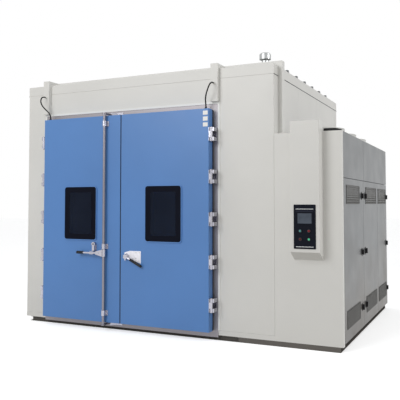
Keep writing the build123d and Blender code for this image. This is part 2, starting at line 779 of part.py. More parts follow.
left_points, left_radii = cable_path(left_route)
with BuildPart() as left_door_cable:
    with BuildLine() as left_line:
        FilletPolyline(*left_points, radius=left_radii)
    with BuildSketch(Plane(origin=left_points[0], z_dir=left_points[1] - left_points[0])):
        Circle(cable_diameter / 2)
    sweep(path=left_line.wires()[0])
report_cable("left cable", left_points, left_radii, left_door_cable.part)
left_door_cable.part.label = "left_door_cable"
export_step(left_door_cable.part, "parts/left_door_cable.step")

right_points, right_radii = cable_path(right_route)
with BuildPart() as right_door_cable:
    with BuildLine() as right_line:
        FilletPolyline(*right_points, radius=right_radii)
    with BuildSketch(Plane(origin=right_points[0], z_dir=right_points[1] - right_points[0])):
        Circle(cable_diameter / 2)
    sweep(path=right_line.wires()[0])
report_cable("right cable", right_points, right_radii, right_door_cable.part)
right_door_cable.part.label = "right_door_cable"
export_step(right_door_cable.part, "parts/right_door_cable.step")

# Roof fittings: channel stiffeners across the roof and a capped pressure vent.
stiffener_first = 540
stiffener_pitch = 365
stiffener_count = 6
stiffener_width = 60
stiffener_height = 22
with BuildPart() as roof_stiffeners:
    for n in range(stiffener_count):
        y = front + stiffener_first + stiffener_pitch * n
        start = (left + panel_thickness, y, chamber_top)
        with BuildSketch(Plane(origin=start, x_dir=(0, 1, 0), z_dir=(1, 0, 0))):
            Trapezoid(stiffener_width, stiffener_height, 60, align=(Align.CENTER, Align.MIN))
        extrude(amount=chamber_length - panel_thickness)
roof_stiffeners.part.label = "roof_stiffeners"
export_step(roof_stiffeners.part, "parts/roof_stiffeners.step")

vent_x = chamber_length - 205
vent_y = 310
vent_radius = 38
vent_cap_radius = 66
vent_height = 190
vent_cap_height = 72
vent_cap_slope = 14
vent_flange = 6
vent_flange_radius = 68
with BuildPart() as pressure_vent:
    foot = (left + vent_x, front + vent_y, chamber_top)
    cap_bottom = vent_height - vent_cap_height
    with BuildSketch(Plane(origin=foot, x_dir=(1, 0, 0), z_dir=(0, -1, 0))):
        Polygon((0, 0), (vent_flange_radius, 0), (vent_flange_radius, vent_flange), (vent_radius, vent_flange),
                (vent_radius, cap_bottom - vent_cap_slope), (vent_cap_radius - vent_flange, cap_bottom),
                (vent_cap_radius, cap_bottom), (vent_cap_radius, vent_height - vent_cap_slope),
                (vent_cap_radius - vent_cap_slope, vent_height), (0, vent_height), align=None)
    revolve(axis=Axis(foot, (0, 0, 1)))
pressure_vent.part.label = "pressure_vent"
export_step(pressure_vent.part, "parts/pressure_vent.step")

# Air baffle: a folded stainless sheet in front of the plenum, with two fan rings near
# the middle and a row of return slots at the foot.
slot_width = 26
slot_height = 300
slot_bottom = 240
ring_depth = 40
baffle_front = liner_front + liner_thickness
baffle_rear = liner_rear - liner_thickness
fan_clearance = 10
fan_places = [front + y for y in circulation_fan_y]
with BuildPart() as air_baffle:
    block((baffle_x - sheet, baffle_x), (baffle_front, baffle_rear), (liner_floor, liner_roof))
    for y in fan_places:
        with Locations(Location((baffle_x + ring_depth / 2, y, circulation_fan_z), (0, 90, 0))):
            Cylinder(circulation_fan_radius + fan_clearance + sheet, ring_depth)
            Cylinder(circulation_fan_radius + fan_clearance, ring_depth + 6 * sheet, mode=Mode.SUBTRACT)
    slot_middle = (baffle_x, 0, slot_bottom + slot_height / 2)
    with BuildSketch(Plane(origin=slot_middle, x_dir=(0, 1, 0), z_dir=(1, 0, 0))):
        with GridLocations((baffle_rear - baffle_front) / (plenum_slots + 1), 1, plenum_slots, 1):
            SlotOverall(slot_height, slot_width, rotation=90)
    extrude(amount=2 * sheet, both=True, mode=Mode.SUBTRACT)
air_baffle.part.label = "air_baffle"
export_step(air_baffle.part, "parts/air_baffle.step")

# Evaporator coil in the plenum: end plates on the wall, a tube block and flat fins.
coil_left = baffle_x + 40
coil_bottom = 800
coil_height = 620
coil_fins = 24
coil_front = baffle_front + 300
coil_rear = baffle_rear - 300
with BuildPart() as evaporator_coil:
    for y in (coil_front, coil_rear):
        block((coil_left, inner_right), (y - 2, y + 2), (coil_bottom - 20, coil_bottom + coil_height + 20))
    block((coil_left + 30, coil_left + 190), (coil_front, coil_rear),
          (coil_bottom + 20, coil_bottom + coil_height - 20))
    fin_pitch = (coil_rear - coil_front) / (coil_fins + 1)
    with Locations((coil_left + 110, 0, coil_bottom + coil_height / 2)):
        with GridLocations(1, fin_pitch, 1, coil_fins):
            Box(200, 6, coil_height)
evaporator_coil.part.label = "evaporator_coil"
export_step(evaporator_coil.part, "parts/evaporator_coil.step")

# Air heater: sheathed elements between two end brackets on the wall.
heater_z = 1560
heater_pitch = 45
with BuildPart() as air_heater:
    for y in (coil_front, coil_rear):
        block((coil_left, inner_right), (y - 2, y + 2), (heater_z - 40, heater_z + 90))
    for row in range(2):
        for column in range(4):
            with Locations(Location((coil_left + 60 + heater_pitch * column, (coil_front + coil_rear) / 2,
                                     heater_z + heater_pitch * row), (90, 0, 0))):
                Cylinder(8, coil_rear - coil_front)
air_heater.part.label = "air_heater"
export_step(air_heater.part, "parts/air_heater.step")

# Circulation motors on the machine side, each with its sleeve through the wall.
motor_radius = 90
motor_length = 230
flange_radius = 80
with BuildPart() as fan_motors:
    for y in fan_places:
        with BuildSketch(Plane(origin=(0, y, circulation_fan_z), x_dir=(1, 0, 0), z_dir=(0, -1, 0))) as profile:
            bore = shaft_radius + running_gap
            Polygon((inner_right, bore), (right + motor_length - 60, bore), (right + motor_length - 60, 0),
                    (right + motor_length, 0), (right + motor_length, motor_radius - 20),
                    (right + motor_length - 15, motor_radius), (right + 40, motor_radius),
                    (right + 30, flange_radius / 2 + 10), (right + 12, flange_radius / 2 + 10),
                    (right + 12, flange_radius), (right, flange_radius),
                    (right, shaft_hole_radius - seat_gap), (inner_right, shaft_hole_radius - seat_gap),
                    align=None)
        revolve(profile.sketch, axis=Axis((0, y, circulation_fan_z), (1, 0, 0)))
fan_motors.part.label = "fan_motors"
export_step(fan_motors.part, "parts/fan_motors.step")


def fan_rotor(radius, hub_radius, hub_length, blade_count, pitch_root, pitch_tip):
    """Make a rotor about Z from its back face at zero: a hub with lofted, twisted blades."""
    with BuildPart() as blade:
        middle = hub_length / 2
        with BuildSketch(Plane(origin=(hub_radius * 0.8, 0, middle), x_dir=(0, 1, 0), z_dir=(1, 0, 0))):
            Rectangle(radius * 0.3, blade_thickness, rotation=pitch_root)
        with BuildSketch(Plane(origin=(radius - 4, 0, middle), x_dir=(0, 1, 0), z_dir=(1, 0, 0))):
            Rectangle(radius * 0.5, blade_thickness, rotation=pitch_tip)
        loft()
    with BuildPart() as rotor:
        with Locations((0, 0, hub_length / 2)):
            Cylinder(hub_radius, hub_length)
        with PolarLocations(0, blade_count):
            add(blade.part)
    return rotor.part


# Circulation fans: six blades on a long shaft that runs through the wall to its motor.
hub_length = 60
shaft_end = right + motor_length - 61
circulation_template = fan_rotor(circulation_fan_radius, 55, hub_length, 6, 40, 22)
fan_front_x = baffle_x + fan_clearance
for name, y in zip(("front_circulation_fan", "rear_circulation_fan"), fan_places):
    with BuildPart() as circulation_fan:
        add(circulation_template.moved(Location((fan_front_x, y, circulation_fan_z), (0, 90, 0))))
        with Locations(Location(((fan_front_x + shaft_end) / 2, y, circulation_fan_z), (0, 90, 0))):
            Cylinder(shaft_radius, shaft_end - fan_front_x)
    circulation_fan.part.label = name
    export_step(circulation_fan.part, f"parts/{name}.step")

# Two bulkhead lamps on the ceiling.
lamp_radius = 85
lamp_height = 70
with BuildPart() as interior_lamps:
    for y in fan_places:
        with BuildSketch(Plane(origin=(-400, y, 0), x_dir=(1, 0, 0), z_dir=(0, -1, 0))) as profile:
            Polygon((0, liner_roof), (lamp_radius, liner_roof), (lamp_radius, liner_roof - 20),
                    (lamp_radius - 15, liner_roof - 50), (lamp_radius / 2, liner_roof - lamp_height),
                    (0, liner_roof - lamp_height), align=None)
        revolve(profile.sketch, axis=Axis((-400, y, 0), (0, 0, 1)))
interior_lamps.part.label = "interior_lamps"
export_step(interior_lamps.part, "parts/interior_lamps.step")

# Machine frame: square tube posts and rails, a base tray and the coil bearers.
post_front = front + front_return + sheet
post_rear = machine_rear - door_depth - sheet - post
post_y = [post_front, front + door_seams[1] - post / 2, front + door_seams[2] - post / 2, post_rear]
frame_top_z = machine_top - sheet
tube_wall = 3


def tube(x, y, z):
    """Make a square tube along the longest of the three ranges."""
    block(x, y, z)
    spans = [x, y, z]
    long = max(range(3), key=lambda i: spans[i][1] - spans[i][0])
    cut = [s if i == long else (s[0] + tube_wall, s[1] - tube_wall) for i, s in enumerate(spans)]
    block(*cut, mode=Mode.SUBTRACT)


coil_z = 2080
inner_post = machine_left + post
outer_post = frame_plane - post
with BuildPart() as machine_frame:
    for y in post_y:
        for x in (machine_left, outer_post):
            tube((x, x + post), (y, y + post), (machine_floor + seat_gap, frame_top_z))
    for x in (machine_left, outer_post):
        tube((x, x + post), (post_y[0], post_y[-1] + post), (base_height, machine_floor))
    for y0, y1 in zip(post_y, post_y[1:]):
        between = (y0 + post + seat_gap, y1 - seat_gap)
        tube((outer_post, frame_plane), between, (rail_z - post / 2, rail_z + post / 2))
        tube((outer_post, frame_plane), between, (frame_top_z - post, frame_top_z))
    for y in (post_y[0] + post + seat_gap, post_y[1] + post + seat_gap, post_y[2] - post - seat_gap):
        tube((inner_post + seat_gap, outer_post - seat_gap), (y, y + post), (coil_z - post, coil_z))
    block((inner_post + seat_gap, outer_post - seat_gap), (post_y[0], post_y[-1] + post),
          (machine_floor - sheet, machine_floor))
machine_frame.part.label = "machine_frame"
export_step(machine_frame.part, "parts/machine_frame.step")


def pan(x, y, z, open_face):
    """Make a folded sheet pan that fills the given ranges, open towards open_face."""
    block(x, y, z)
    inner = [[x[0] + sheet, x[1] - sheet], [y[0] + sheet, y[1] - sheet], [z[0] + sheet, z[1] - sheet]]
    axis = "xyz".index(open_face[1])
    span = (x, y, z)[axis]
    if open_face[0] == "+":
        inner[axis][1] = span[1]
    else:
        inner[axis][0] = span[0]
    block(*inner, mode=Mode.SUBTRACT)


# Machine cladding: front, rear, roof and upper side panels.
with BuildPart() as machine_front:
    pan((machine_left, machine_right), (front, front + front_return), (base_height, machine_top), "+y")
machine_front.part.label = "machine_front"
export_step(machine_front.part, "parts/machine_front.step")

with BuildPart() as machine_rear_panel:
    pan((machine_left, frame_plane), (machine_rear - door_depth, machine_rear),
        (base_height, machine_top), "-y")
machine_rear_panel.part.label = "machine_rear_panel"
export_step(machine_rear_panel.part, "parts/machine_rear_panel.step")

fan_x = (machine_left + machine_right) / 2
guard_radius = condenser_fan_radius + 25
with BuildPart() as machine_roof:
    block((machine_left, machine_right), (front + front_return, machine_rear - door_depth),
          (machine_top - sheet, machine_top))
    for y in condenser_fan_y:
        with Locations((fan_x, front + y, machine_top)):
            Cylinder(condenser_fan_radius + fan_clearance, 6 * sheet, mode=Mode.SUBTRACT)
machine_roof.part.label = "machine_roof"
export_step(machine_roof.part, "parts/machine_roof.step")

with BuildPart() as machine_side_panel:
    first, middle, last = front + door_seams[0], front + upper_seam, front + door_seams[3]
    for y0, y1 in ((first, middle), (middle + door_gap / 2, last)):
        pan((frame_plane, machine_right), (y0, y1 - door_gap / 2),
            (rail_z + door_gap / 2, machine_top - sheet), "-x")
machine_side_panel.part.label = "machine_side_panel"
export_step(machine_side_panel.part, "parts/machine_side_panel.step")

# Fan guards on the machine roof: a rolled ring, wire rings, spokes and the fan's fixed pin.
guard_height = 80
wire = 2.5
pin_length = 100
with BuildPart() as fan_guards:
    for y in condenser_fan_y:
        with Locations((fan_x, front + y, machine_top + guard_height / 2)):
            Cylinder(guard_radius, guard_height)
            Cylinder(guard_radius - 6, guard_height, mode=Mode.SUBTRACT)
        with Locations((fan_x, front + y, machine_top + guard_height - wire)):
            for radius in (90, 150, 210):
                Cylinder(radius + wire, 2 * wire)
                Cylinder(radius - wire, 2 * wire, mode=Mode.SUBTRACT)
            with PolarLocations(guard_radius / 2, 6):
                Box(guard_radius - 4, 3 * wire, 2 * wire)
            Cylinder(50, 2 * wire)
        with Locations((fan_x, front + y, machine_top + guard_height - pin_length / 2)):
            Cylinder(shaft_radius, pin_length)
fan_guards.part.label = "fan_guards"
export_step(fan_guards.part, "parts/fan_guards.step")

# Condenser fans hang on the pins of their guards.
condenser_hub = 50
rotor_top = machine_top + guard_height - 2 * wire - 25
condenser_template = fan_rotor(condenser_fan_radius, 60, condenser_hub, 6, 35, 20)
condenser_names = ("front_condenser_fan", "middle_condenser_fan", "rear_condenser_fan")
for name, y in zip(condenser_names, condenser_fan_y):
    with BuildPart() as condenser_fan:
        add(condenser_template.moved(Location((fan_x, front + y, rotor_top - condenser_hub))))
        with Locations((fan_x, front + y, rotor_top - condenser_hub / 2)):
            Cylinder(shaft_radius + running_gap, 2 * condenser_hub, mode=Mode.SUBTRACT)
    condenser_fan.part.label = name
    export_step(condenser_fan.part, f"parts/{name}.step")

# Condenser coil under the fans, on its bearers.
condenser_depth = 66
condenser_fins = 24
condenser_front = post_y[0] + post + 20
condenser_rear = post_y[2] - 10
with BuildPart() as condenser_coil:
    mid_y = (condenser_front + condenser_rear) / 2
    length_y = condenser_rear - condenser_front
    block((inner_post + 30, outer_post - 30), (condenser_front, condenser_rear),
          (coil_z + 12, coil_z + condenser_depth - 12))
    with Locations((fan_x, mid_y, coil_z + condenser_depth / 2)):
        with GridLocations(1, length_y / (condenser_fins - 1), 1, condenser_fins):
            Box(outer_post - inner_post - 60, 6, condenser_depth)
condenser_coil.part.label = "condenser_coil"
export_step(condenser_coil.part, "parts/condenser_coil.step")

# Two compressors on the tray, each a domed shell on a foot plate.
shell_radius = 130
shell_height = 520
with BuildPart() as compressors:
    for y in (650, 1650):
        foot = (fan_x, front + y, machine_floor)
        with BuildSketch(Plane(origin=foot, x_dir=(1, 0, 0), z_dir=(0, -1, 0))) as profile:
            Polygon((0, 0), (shell_radius + 50, 0), (shell_radius + 50, 10), (shell_radius, 10),
                    (shell_radius, shell_height - 90), (shell_radius + 8, shell_height - 90),
                    (shell_radius + 8, shell_height - 70), (shell_radius - 10, shell_height - 70),
                    (shell_radius - 40, shell_height - 20), (30, shell_height), (0, shell_height), align=None)
        revolve(profile.sketch, axis=Axis(foot, (0, 0, 1)))
compressors.part.label = "compressors"
export_step(compressors.part, "parts/compressors.step")

# Electrical plate behind the front panel: a folded plate with rows of switchgear.
plate_left = machine_left + 120
plate_right = machine_right - 120
plate_bottom = 900
plate_top = 2000
plate_y = front + sheet
stand_off = 40
with BuildPart() as electrical_plate:
    pan((plate_left, plate_right), (plate_y, plate_y + stand_off), (plate_bottom, plate_top), "-y")
    middle = ((plate_left + plate_right) / 2, plate_y + stand_off, (plate_bottom + plate_top) / 2)
    with BuildSketch(Plane(origin=middle, x_dir=(-1, 0, 0), z_dir=(0, 1, 0))):
        with GridLocations(70, 260, 6, 4):
            Rectangle(54, 130)
    extrude(amount=70)
electrical_plate.part.label = "electrical_plate"
export_step(electrical_plate.part, "parts/electrical_plate.step")


# Machine doors: folded pans with louvred air inlets and a slot for the paddle latches.
def side_plane(x):
    """Plane of the machine's right side at x: its X is +Y and its Y is +Z."""
    return Plane(origin=(x, 0, 0), x_dir=(0, 1, 0), z_dir=(1, 0, 0))


paddle_y = (front + door_seams[1] - 110, front + door_seams[1] + 110, front + door_seams[3] - 70)
paddle_gap = 2
door_names = ("front_machine_door", "middle_machine_door", "rear_machine_door")
half_gap = door_gap / 2
door_spans = [(front + a + half_gap, front + b - half_gap) for a, b in zip(door_seams, door_seams[1:])]
door_top = rail_z - door_gap / 2
pocket_depth = 14
for place, name in enumerate(door_names):
    y0, y1 = door_spans[place]
    with BuildPart() as machine_door:
        pan((frame_plane + seat_gap, machine_right), (y0, y1), (machine_door_bottom, door_top), "-x")
        grille_y = [front + y for y in grille_spans[place]]
        for low, high in (grille_low, grille_high):
            count = int((high - low) / louvre_pitch)
            with BuildSketch(side_plane(machine_right)):
                with Locations((sum(grille_y) / 2, (low + high) / 2)):
                    with GridLocations(1, louvre_pitch, 1, count):
                        Rectangle(grille_y[1] - grille_y[0], louvre_height)
            extrude(amount=2 * sheet, both=True, mode=Mode.SUBTRACT)
        centre = paddle_y[place]
        for z in paddle_heights:
            half_width = paddle_width / 2 + paddle_gap
            half_height = paddle_height / 2 + paddle_gap
            block((machine_right - pocket_depth - sheet, machine_right),
                  (centre - half_width - sheet, centre + half_width + sheet),
                  (z - half_height - sheet, z + half_height + sheet))
            block((machine_right - pocket_depth, machine_right + sheet),
                  (centre - half_width, centre + half_width),
                  (z - half_height, z + half_height), mode=Mode.SUBTRACT)
    machine_door.part.label = name
    export_step(machine_door.part, f"parts/{name}.step")

# Paddle latches: three on each door, on one hinge line, each with a grip that stands proud.
paddle_thickness = pocket_depth - seat_gap
paddle_names = ("front_door_paddles", "middle_door_paddles", "rear_door_paddles")
for name, centre in zip(paddle_names, paddle_y):
    with BuildPart() as paddles:
        for z in paddle_heights:
            with BuildSketch(Plane.XY.offset(z - paddle_height / 2)):
                with Locations((machine_right - pocket_depth + seat_gap, centre)):
                    Rectangle(paddle_thickness + 3, paddle_width, align=(Align.MIN, Align.CENTER))
            extrude(amount=paddle_height)
            with BuildSketch(side_plane(machine_right)):
                with Locations((centre, z)):
                    RectangleRounded(grip_width, grip_height, 6)
            extrude(amount=grip_stand_off, taper=4)
    paddles.part.label = name
    export_step(paddles.part, f"parts/{name}.step")

# Control box on the machine front: a sheet housing with a sloping heel.
box_x0 = left + box_left
box_x1 = box_x0 + box_width
box_face = front - box_depth
with BuildPart() as control_box:
    with BuildSketch(Plane(origin=(box_x0, front, 0), x_dir=(0, 1, 0), z_dir=(1, 0, 0))):
        Polygon((0, box_bottom - box_heel), (0, box_top), (-box_depth, box_top), (-box_depth, box_bottom),
                align=None)
    extrude(amount=box_width)
    fillet(control_box.edges().filter_by(Axis.Z).group_by(Axis.Y)[0], radius=5)
    offset(amount=-sheet, openings=control_box.faces().sort_by(Axis.Y)[-1])
    opening = ((box_x0 + box_x1) / 2, box_face, (fascia_bottom + fascia_top) / 2)
    with Locations(Location(opening, (90, 0, 0))):
        Box(fascia_width - 40, fascia_top - fascia_bottom - 40, 4 * sheet, mode=Mode.SUBTRACT)
control_box.part.label = "control_box"
export_step(control_box.part, "parts/control_box.step")

# Operator fascia: a plate with the screen bezel, two lamps and two button guards.
fascia_x = (box_x0 + box_x1) / 2
screen_width = 184
screen_height = 141
screen_z = 1368
lamp_row_z = 1239
button_row_z = 1154
button_offset = 46
button_hole = 6
fascia_front = box_face - fascia_thickness
stop_x = fascia_x - button_offset
start_x = fascia_x + button_offset
with BuildPart() as operator_fascia:
    with BuildSketch(front_plane(box_face)):
        with Locations((fascia_x, (fascia_bottom + fascia_top) / 2)):
            RectangleRounded(fascia_width, fascia_top - fascia_bottom, 8)
    extrude(amount=fascia_thickness)
    with BuildSketch(front_plane(fascia_front)):
        with Locations((fascia_x, screen_z)):
            RectangleRounded(screen_width, screen_height, 8)
            RectangleRounded(screen_width - 36, screen_height - 36, 4, mode=Mode.SUBTRACT)
    extrude(amount=bezel_height / 2)
    with BuildSketch(front_plane(fascia_front)):
        for x in (stop_x, start_x):
            for z in (button_row_z, lamp_row_z):
                with Locations((x, z)):
                    Circle(button_radius + 4)
        for x in (stop_x, start_x):
            with Locations((x, button_row_z)):
                Circle(button_radius + 2 * seat_gap, mode=Mode.SUBTRACT)
    extrude(amount=bezel_height)
    with BuildSketch(front_plane(fascia_front - bezel_height)):
        for x in (stop_x, start_x):
            with Locations((x, lamp_row_z)):
                Circle(button_radius)
    extrude(amount=4, taper=20)
    with BuildSketch(front_plane(box_face)):
        for x in (stop_x, start_x):
            with Locations((x, button_row_z)):
                Circle(button_hole + running_gap)
    extrude(amount=fascia_thickness, mode=Mode.SUBTRACT)
operator_fascia.part.label = "operator_fascia"
export_step(operator_fascia.part, "parts/operator_fascia.step")

# Push buttons: a domed cap in its guard, with a stem through the fascia.
cap_back = fascia_front - button_travel - 1
for name, x in (("stop_button", stop_x), ("start_button", start_x)):
    with BuildPart() as push_button:
        with BuildSketch(front_plane(cap_back)):
            with Locations((x, button_row_z)):
                Circle(button_radius)
        extrude(amount=bezel_height)
        fillet(push_button.faces().sort_by(Axis.Y)[0].edges(), radius=2)
        with BuildSketch(front_plane(cap_back)):
            with Locations((x, button_row_z)):
                Circle(button_hole)
        extrude(amount=-(fascia_thickness + button_travel + 6))
    push_button.part.label = name
    export_step(push_button.part, f"parts/{name}.step")
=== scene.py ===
import math

import bmesh
import bpy
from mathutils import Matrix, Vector


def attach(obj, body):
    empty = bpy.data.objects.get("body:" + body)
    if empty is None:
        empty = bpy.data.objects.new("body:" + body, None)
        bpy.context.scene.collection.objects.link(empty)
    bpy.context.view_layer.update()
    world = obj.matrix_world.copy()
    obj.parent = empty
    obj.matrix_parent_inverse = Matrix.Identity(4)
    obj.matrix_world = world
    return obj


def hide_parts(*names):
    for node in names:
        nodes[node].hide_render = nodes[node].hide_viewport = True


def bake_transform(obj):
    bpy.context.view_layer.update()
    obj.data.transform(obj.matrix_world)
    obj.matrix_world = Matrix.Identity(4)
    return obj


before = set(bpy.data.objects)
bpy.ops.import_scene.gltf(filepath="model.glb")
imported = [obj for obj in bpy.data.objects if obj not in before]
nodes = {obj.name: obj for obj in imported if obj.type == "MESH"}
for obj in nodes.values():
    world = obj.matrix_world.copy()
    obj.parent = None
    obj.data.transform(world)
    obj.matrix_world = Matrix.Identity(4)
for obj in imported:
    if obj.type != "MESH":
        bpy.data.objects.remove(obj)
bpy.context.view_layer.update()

# Metres. The frame's origin is on the floor under the middle of the chamber, and most
# places below are counted from the chamber's left front corner.
LEFT, FRONT = -1.7, -1.5
CHAMBER_WIDTH, CHAMBER_DEPTH = 3.4, 3.0
MACHINE_RIGHT = 2.43
X_AXIS, Y_AXIS, Z_AXIS = Vector((1, 0, 0)), Vector((0, 1, 0)), Vector((0, 0, 1))


def srgb(red, green, blue):
    """Turn a colour as seen on a screen, 0 to 255, into a linear colour."""
    def linear(value):
        value /= 255
        return value / 12.92 if value <= 0.04045 else ((value + 0.055) / 1.055) ** 2.4
    return (linear(red), linear(green), linear(blue), 1.0)


# Camera: eye height 1.53 m in front of the machine unit, turned to the left.
EYE = (3.7756, -7.7106, 1.5257)
TILT_DEGREES, TURN_DEGREES = 92.5, 25.51
LENS, FRAME_SHIFT = 54.23, -0.0582


def make_camera():
    data = bpy.data.cameras.new("camera")
    data.sensor_width = 36
    data.lens = LENS
    data.shift_y = FRAME_SHIFT
    data.clip_end = 60
    camera = bpy.data.objects.new("camera", data)
    camera.location = EYE
    camera.rotation_euler = (math.radians(TILT_DEGREES), 0, math.radians(TURN_DEGREES))
    bpy.context.scene.collection.objects.link(camera)
    bpy.context.scene.camera = camera


make_camera()


# Node helpers for the procedural materials.
class Shader:
    """A material with its Principled shader and short calls for the nodes around it."""

    def __init__(self, name, colour, roughness, metallic=0.0):
        self.material = bpy.data.materials.new(name)
        self.material.use_nodes = True
        self.tree = self.material.node_tree
        self.shader = self.tree.nodes["Principled BSDF"]
        self.set("Base Color", colour)
        self.set("Roughness", roughness)
        self.set("Metallic", metallic)
        self.place = self.node("ShaderNodeTexCoord").outputs["Object"]

    def set(self, socket, value):
        self.shader.inputs[socket].default_value = value

    def feed(self, socket, value):
        """Join a value to one of the Principled shader's sockets."""
        self.join(value, self.shader.inputs[socket])

    def node(self, kind, **settings):
        made = self.tree.nodes.new(kind)
        for key, value in settings.items():
            setattr(made, key, value)
        return made

    def join(self, start, end):
        self.tree.links.new(start, end)

    def noise(self, scale, detail=3.0, stretch=(1, 1, 1)):
        """Noise over the object's own coordinates, longer along axes with a small stretch."""
        mapping = self.node("ShaderNodeMapping")
        mapping.inputs["Scale"].default_value = stretch
        self.join(self.place, mapping.inputs["Vector"])
        noise = self.node("ShaderNodeTexNoise")
        noise.inputs["Scale"].default_value = scale
        noise.inputs["Detail"].default_value = detail
        self.join(mapping.outputs["Vector"], noise.inputs["Vector"])
        return noise.outputs["Fac"]

    def ramp(self, value, low, high, start=0.3, end=0.7):
        """Map a value between start and end onto two colours."""
        ramp = self.node("ShaderNodeValToRGB")
        ramp.color_ramp.elements[0].position = start
        ramp.color_ramp.elements[1].position = end
        ramp.color_ramp.elements[0].color = low
        ramp.color_ramp.elements[1].color = high
        self.join(value, ramp.inputs["Fac"])
        return ramp.outputs["Color"]

    def span(self, value, low, high):
        """Map a value from 0..1 onto low..high."""
        span = self.node("ShaderNodeMapRange")
        span.inputs["To Min"].default_value = low
        span.inputs["To Max"].default_value = high
        self.join(value, span.inputs["Value"])
        return span.outputs["Result"]

    def bump(self, value, strength, distance):
        bump = self.node("ShaderNodeBump")
        bump.inputs["Strength"].default_value = strength
        bump.inputs["Distance"].default_value = distance
        self.join(value, bump.inputs["Height"])
        self.feed("Normal", bump.outputs["Normal"])

    def mix(self, mask, first, second):
        mix = self.node("ShaderNodeMix", data_type="RGBA")
        self.join(mask, mix.inputs["Factor"])
        for socket, value in ((mix.inputs[6], first), (mix.inputs[7], second)):
            if isinstance(value, tuple):
                socket.default_value = value
            else:
                self.join(value, socket)
        return mix.outputs[2]

    def coordinate(self, axis):
        """The object's own coordinate along an axis, 0 to 2."""
        split = self.node("ShaderNodeSeparateXYZ")
        self.join(self.place, split.inputs["Vector"])
        return split.outputs[axis]

    def above(self, axis, limit):
        """One where the object's coordinate along axis is over limit, otherwise zero."""
        compare = self.node("ShaderNodeMath", operation="GREATER_THAN")
        self.join(self.coordinate(axis), compare.inputs[0])
        compare.inputs[1].default_value = limit
        return compare.outputs["Value"]


def shade(colour, factor):
    """A lighter or darker copy of a colour."""
    return tuple(min(1.0, c * factor) for c in colour[:3]) + (1.0,)


def paint(name, colour, roughness=0.42, spread=0.035, grain=260.0):
    """Powder coat: fine orange peel, slow changes of tone, and a soft gloss."""
    made = Shader(name, colour, roughness)
    made.tone = made.ramp(made.noise(1.1, 4.0), shade(colour, 1 - spread), shade(colour, 1 + spread))
    made.feed("Base Color", made.tone)
    made.feed("Roughness", made.span(made.noise(5.0), roughness - 0.06, roughness + 0.06))
    made.bump(made.noise(grain, 2.0), 0.12, 0.0002)
    return made


def metal(name, colour, roughness, stretch=(1, 1, 1), grain=60.0, spread=0.08, metallic=1.0):
    """Metal with fine grain; a small stretch on one axis draws the grain out along it."""
    made = Shader(name, colour, roughness, metallic)
    grained = made.noise(grain, 3.0, stretch)
    made.feed("Base Color", made.ramp(grained, shade(colour, 1 - spread), shade(colour, 1 + spread)))
    made.feed("Roughness", made.span(grained, roughness * 0.75, roughness * 1.3))
    made.bump(grained, 0.08, 0.0002)
    return made


def plastic(name, colour, roughness=0.5, spread=0.1, specular=0.5):
    """Moulded plastic or rubber with a fine matt grain."""
    made = Shader(name, colour, roughness)
    made.set("Specular IOR Level", specular)
    tone = made.ramp(made.noise(9.0), shade(colour, 1 - spread), shade(colour, 1 + spread))
    made.feed("Base Color", tone)
    made.feed("Roughness", made.span(made.noise(30.0), roughness - 0.08, roughness + 0.08))
    made.bump(made.noise(400.0, 2.0), 0.2, 0.0002)
    return made


def make_glass():
    """Dark insulating glass that lets a little of the inside through."""
    made = Shader("window_glass", srgb(80, 88, 108), 0.04)
    made.set("Transmission Weight", 0.85)
    made.set("IOR", 1.13)
    made.feed("Base Color", made.ramp(made.noise(1.5), srgb(50, 63, 92), srgb(72, 86, 114)))
    made.feed("Roughness", made.span(made.noise(3.0), 0.02, 0.06))
    return made


def make_screen():
    """Bare operator screen: dark glass with a soft bluish tone."""
    made = Shader("screen_glass", srgb(74, 82, 94), 0.3)
    made.set("Specular IOR Level", 0.2)
    made.feed("Base Color", made.ramp(made.noise(14.0), srgb(66, 74, 86), srgb(82, 90, 102)))
    return made


def make_side_metal():
    """Semi-gloss grey sheet with a painted reflection of sky and ground: cooler and lighter higher up,
    warmer and darker lower down, in broad patches.
    """
    made = Shader("grey_sheet", srgb(122, 122, 121), 0.34, 0.7)
    height = made.node("ShaderNodeMapRange")
    height.inputs["From Max"].default_value = 2.3
    made.join(made.coordinate(2), height.inputs["Value"])
    # Painted reflection: height plus broad noise picks between a dark warm painted ground reflection and a
    # light cool painted sky reflection.
    painted_reflection = made.node("ShaderNodeMath", operation="MULTIPLY_ADD")
    made.join(made.noise(1.6, 2.0, (1, 0.8, 1.6)), painted_reflection.inputs[0])
    painted_reflection.inputs[1].default_value = 0.9
    made.join(height.outputs["Result"], painted_reflection.inputs[2])
    tone = made.ramp(painted_reflection.outputs["Value"], srgb(76, 68, 58), srgb(98, 101, 103), 0.30, 1.15)
    made.feed("Base Color", tone)
    made.feed("Roughness", made.span(made.noise(3.0), 0.26, 0.42))
    made.bump(made.noise(2.2, 1.0), 0.15, 0.004)
    return made


def make_leaf():
    """Blue outside, stainless on the plug that stands inside the doorway."""
    made = paint("leaf_paint", BLUE, 0.36, 0.05)
    plug_face = FRONT - 0.029
    inside = made.above(1, plug_face)
    made.feed("Base Color", made.mix(inside, made.tone, STEEL))
    made.feed("Metallic", inside)
    return made


CREAM = srgb(217, 216, 212)
BLUE = srgb(82, 130, 192)
STEEL = srgb(176, 178, 178)
UPRIGHT = (1, 1, 0.02)
cream = paint("cream_paint", CREAM, 0.40)
